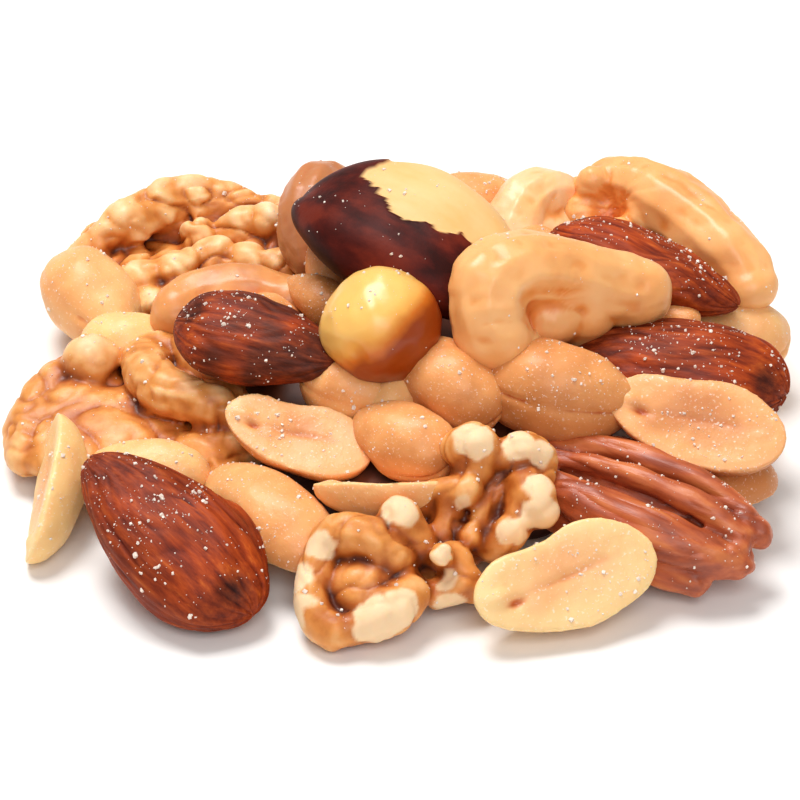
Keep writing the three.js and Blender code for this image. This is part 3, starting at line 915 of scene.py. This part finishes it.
# Painted shade in the grooves and painted highlight on the lobes, by how deep in a groove each point lies.
groove_shade = add_node(
    tree, "ValToRGB", {}, {"Fac": hollow.outputs["Fac"]},
    [(0.35, "#fff2e4"), (0.6, "#ecd0c0"), (0.82, "#5c3228"), (0.95, "#301614")],
)
shaded_skin = add_node(
    tree, "Mix", {"data_type": "RGBA", "blend_type": "MULTIPLY"},
    {"Factor": 1.0, 6: skin.outputs["Color"], 7: groove_shade.outputs["Color"]},
)
grain = add_node(
    tree, "TexNoise", {}, {"Vector": streaks_place.outputs["Vector"], "Scale": 5.0, "Detail": 5}
)
bump = add_node(tree, "Bump", {}, {"Height": grain.outputs["Fac"], "Strength": 0.4, "Distance": 0.10 * mm})
set_sockets(tree, shader, {
    "Base Color": shaded_skin.outputs[2], "Normal": bump.outputs["Normal"], "Roughness": 0.42,
})
dress(pecan, pecan_skin)


# --- Brazil nut -------------------------------------------------------------------------------
# One shelled Brazil nut: a bowed three-sided wedge. Its thick dark skin has flaked off one side
# along a ragged line and shows the waxy cream kernel.
brazil_length = 29
brazil_width = 16.5
brazil_thickness = 13.5
brazil_bow = 4.4
brazil_corner = math.radians(45)
brazil_place = (0.7, 8.4, 19.9, -34, -8, 0, 0.98)
skin_thickness = 0.3
skin_edge_width = 0.12


def brazil_relief(spot, shift):
    """Three rounded ridges, and the step where the skin ends."""
    around = math.atan2(spot.z / brazil_thickness, spot.y / brazil_width)
    ridges = 0.15 * math.cos(3 * (around - brazil_corner)) * math.hypot(spot.y, spot.z)
    ragged = 1.3 * noise.noise(spot / 2.8 + shift) + 0.6 * noise.noise(spot / 1.1 + shift)
    past_edge = spot.y + 3.2 - 0.05 * (spot.x - 1.5) ** 2
    past_tip = spot.x + 7.4
    bare = min(1, max(0, (min(past_edge, past_tip) + ragged) / skin_edge_width))
    lumps = 0.3 * noise.noise(spot / 6 + shift)
    return ridges + lumps - skin_thickness * bare, bare


brazil_reach = (brazil_length / 2, brazil_width / 2, brazil_thickness / 2)
brazil_nut = ball("brazil_nut", brazil_reach, segments=160, rings=120)
pull(
    brazil_nut, lambda spot: spot.x < -0.499 * brazil_length, move=(-1.8, 0, 0), reach=8, falloff="SHARP"
)
brazil_nut.data.transform(Matrix.Rotation(math.pi / 2, 4, "X"))
modify(
    brazil_nut, "SIMPLE_DEFORM",
    deform_method="BEND", deform_axis="Z", angle=8 * brazil_bow / brazil_length,
)
brazil_nut.data.transform(Matrix.Rotation(-math.pi / 2, 4, "X"))
brazil_nut.data.transform(Matrix.Translation((0, 0, brazil_bow / 2 * mm)))
brazil_nut = heap_up("brazil_nut", brazil_nut, brazil_relief, [brazil_place])

# Brazil nut skin: woody, dark red-brown, with a dull bluish bloom on its ridges. The kernel is
# waxy, cream and faintly yellow, and lets light in.
brazil_skin, tree, shader = new_material("brazil_nut_skin")
on_nut = add_node(tree, "Attribute", {"attribute_name": "on_nut"})
mark = add_node(tree, "Attribute", {"attribute_name": "mark"})
streaks_place = add_node(
    tree, "Mapping", {}, {"Vector": on_nut.outputs["Vector"], "Scale": (0.12, 0.3, 0.3)}
)
streaks = add_node(
    tree, "TexNoise", {}, {"Vector": streaks_place.outputs["Vector"], "Scale": 1.0, "Detail": 5}
)
skin = add_node(
    tree, "ValToRGB", {}, {"Fac": streaks.outputs["Fac"]},
    [(0.38, "#2e0a06"), (0.5, "#48120b"), (0.62, "#662012")],
)
kernel_colour = add_node(
    tree, "ValToRGB", {}, {"Fac": streaks.outputs["Fac"]}, [(0.35, "#ecc086"), (0.7, "#e4b26e")]
)
nut_colour = add_node(
    tree, "Mix", {"data_type": "RGBA"},
    {"Factor": mark.outputs["Fac"], 6: skin.outputs["Color"], 7: kernel_colour.outputs["Color"]},
)
grain = add_node(
    tree, "TexNoise", {}, {"Vector": on_nut.outputs["Vector"], "Scale": 1 / 0.5, "Detail": 5}
)
bump = add_node(tree, "Bump", {}, {"Height": grain.outputs["Fac"], "Strength": 0.25, "Distance": 0.10 * mm})
set_sockets(tree, shader, {
    "Base Color": nut_colour.outputs[2], "Normal": bump.outputs["Normal"],
    "Roughness": 0.5, "Specular IOR Level": 0.1,
    "Subsurface Weight": 0.1, "Subsurface Radius": (1.0, 0.6, 0.3), "Subsurface Scale": 1.5 * mm,
})
dress(brazil_nut, brazil_skin)


# --- Round nut --------------------------------------------------------------------------------
# One small round blanched nut, fried golden and glossy with oil, with a dent in its side.
round_length = 13.2
round_width = 12.4
round_place = (-2.4, -4.7, 19.0, 20, 10, 0, 1.0)
round_dent = Vector((-4.2, -4.4, 1.2))


def round_relief(spot, shift):
    """Slight swellings and the dent, and as the mark how far down the side a point lies, for painted shade.
    """
    dent = math.exp(-((spot - round_dent).length_squared) / 1.6)
    swelling = 0.5 * noise.noise(spot / 5 + shift) + 0.12 * noise.noise(spot / 1.6 + shift)
    # Painted shade: points further down the nut's side get a higher mark, which the finish turns deep
    # orange.
    depth = 0.52 - 0.12 * (spot.z + 0.5 * spot.y - 0.4 * spot.x)
    return swelling - 0.5 * dent, depth


round_reach = (round_length / 2, round_width / 2, round_width / 2)
round_nut = ball("round_nut", round_reach, segments=96, rings=72)
round_nut = heap_up("round_nut", round_nut, round_relief, [round_place])

# Fried round nut: as smooth as wax and wet with oil, yellow on top, with painted shade that turns it deep
# orange below.
golden_nut, tree, shader = new_material("fried_round_nut")
on_nut = add_node(tree, "Attribute", {"attribute_name": "on_nut"})
browning = add_node(
    tree, "TexNoise", {}, {"Vector": on_nut.outputs["Vector"], "Scale": 1 / 6, "Detail": 4}
)
mark = add_node(tree, "Attribute", {"attribute_name": "mark"})
# Painted shade: the lower a point lies on the nut, the deeper orange its colour.
depth = add_node(
    tree, "Math", {"operation": "MULTIPLY_ADD"},
    {0: browning.outputs["Fac"], 1: 0.5, 2: mark.outputs["Fac"]},
)
golden = add_node(
    tree, "ValToRGB", {}, {"Fac": depth.outputs["Value"]},
    [(0.4, "#f2bc64"), (0.62, "#eaa64c"), (0.8, "#cc6c18"), (0.95, "#983c02")],
)
bump = add_node(
    tree, "Bump", {}, {"Height": browning.outputs["Fac"], "Strength": 0.2, "Distance": 0.3 * mm}
)
set_sockets(tree, shader, {
    "Base Color": golden.outputs["Color"], "Normal": bump.outputs["Normal"], "Roughness": 0.3,
    "Subsurface Weight": 0.2, "Subsurface Radius": (1.0, 0.4, 0.15), "Subsurface Scale": 1.0 * mm,
})
dress(round_nut, golden_nut)


# --- The middle of the heap -------------------------------------------------------------------
# What the gaps between the nuts show is more nuts in deep shade, so a lumpy mound fills the
# middle, lower than the nuts all round, coloured dark brown as painted shade.
core_radius = 24
core_height = 10
core_place = (0, 2, 0, 0, 0, 0, 1)


def core_relief(spot, shift):
    """Lumps as large as nuts."""
    return 2.2 * noise.noise(spot / 7 + shift), 0.0


core = ball("core", (core_radius, core_radius, core_height), segments=96, rings=64)
cut_flat(core)
bpy.ops.object.mode_set(mode="OBJECT")
carve(core, core_relief, 2)
lay(core, core_place)
core = one_piece("heap_middle", [core])

# Nuts in deep shade, with the shade painted into the colour: dark brown, dull, mottled from nut to nut.
shaded_nuts, tree, shader = new_material("shaded_nuts")
on_nut = add_node(tree, "Attribute", {"attribute_name": "on_nut"})
mottle = add_node(
    tree, "TexNoise", {}, {"Vector": on_nut.outputs["Vector"], "Scale": 1 / 6, "Detail": 3}
)
brown = add_node(
    tree, "ValToRGB", {}, {"Fac": mottle.outputs["Fac"]}, [(0.4, "#341509"), (0.6, "#6e3516")]
)
set_sockets(tree, shader, {"Base Color": brown.outputs["Color"], "Roughness": 0.6})
dress(core, shaded_nuts)


# --- Salt -------------------------------------------------------------------------------------
# Coarse salt shaken over the nuts while they were hot: broken crystals that stick where they
# land, most of them on the rough almond skins.
salt_least, salt_spread = 0.08, 0.34
salt_fineness = 6
salt_throws = 24000
salt_area = Vector((43, 38, 0)) * mm
salt_aim_height = 8 * mm
salt_drop = 0.1
salt_lean = 0.6
salt_patch = 4 * mm
crystal_bevel = 0.32
salt_odds = {
    "almonds": 0.75, "pecan": 0.4, "peanuts": 0.5, "peanut_halves": 0.5, "cashews": 0.12,
    "walnuts": 0.25, "brazil_nut": 0.1, "round_nut": 0.15,
}
salt_draw = random.Random(11)


def throw_salt():
    """Where a grain lands: its spot and the surface's normal, or nothing if it misses."""
    aim = Vector((
        salt_draw.uniform(-salt_area.x, salt_area.x),
        salt_draw.uniform(-salt_area.y, salt_area.y),
        salt_aim_height,
    ))
    lean = Vector((salt_draw.gauss(0, salt_lean), salt_draw.gauss(0, salt_lean), 1)).normalized()
    hit, spot, normal, _, thing, _ = bpy.context.scene.ray_cast(
        bpy.context.evaluated_depsgraph_get(), aim + lean * salt_drop, -lean
    )
    chance = salt_draw.random()
    if not hit:
        return None
    gathered = 0.5 + 1.4 * noise.noise(spot / salt_patch)
    return (spot, normal) if chance < gathered * salt_odds.get(thing.name, 0) else None


def crystal(bevel):
    """The corners and faces of one crystal, a unit cube with its corners broken off."""
    bpy.ops.mesh.primitive_cube_add(size=1)
    cube = bpy.context.active_object
    bpy.ops.object.mode_set(mode="EDIT")
    bpy.ops.mesh.bevel(offset=bevel, segments=1, affect="VERTICES")
    bpy.ops.object.mode_set(mode="OBJECT")
    corners = [point.co.copy() for point in cube.data.vertices]
    faces = [tuple(face.vertices) for face in cube.data.polygons]
    bpy.data.objects.remove(cube)
    return corners, faces


crystal_corners, crystal_faces = crystal(crystal_bevel)
salt_points, salt_faces = [], []
for _ in range(salt_throws):
    landed = throw_salt()
    if landed is None:
        continue
    spot, normal = landed
    size = (salt_least + salt_spread * salt_draw.random() ** salt_fineness) * mm
    stretch = [salt_draw.uniform(0.6, 1.2) * size for _ in range(3)]
    turn = Euler([salt_draw.uniform(0, math.tau) for _ in range(3)]).to_matrix()
    first = len(salt_points)
    for corner in crystal_corners:
        uneven = [c * s * salt_draw.uniform(0.7, 1.2) for c, s in zip(corner, stretch)]
        salt_points.append(spot + turn @ Vector(uneven))
    salt_faces.extend([tuple(first + index for index in face) for face in crystal_faces])
salt_mesh = bpy.data.meshes.new("salt")
salt_mesh.from_pydata(salt_points, [], salt_faces)
salt = bpy.data.objects.new("salt", salt_mesh)
bpy.context.scene.collection.objects.link(salt)

# Salt crystals: clear but cracked, so they show white and glint.
salt_crystal, tree, shader = new_material("salt_crystal")
set_sockets(tree, shader, {
    "Base Color": linear("#ead8c9"), "Roughness": 0.35,
    "Subsurface Weight": 0.3, "Subsurface Radius": (1.0, 1.0, 1.0), "Subsurface Scale": 0.3 * mm,
})
dress(salt, salt_crystal)
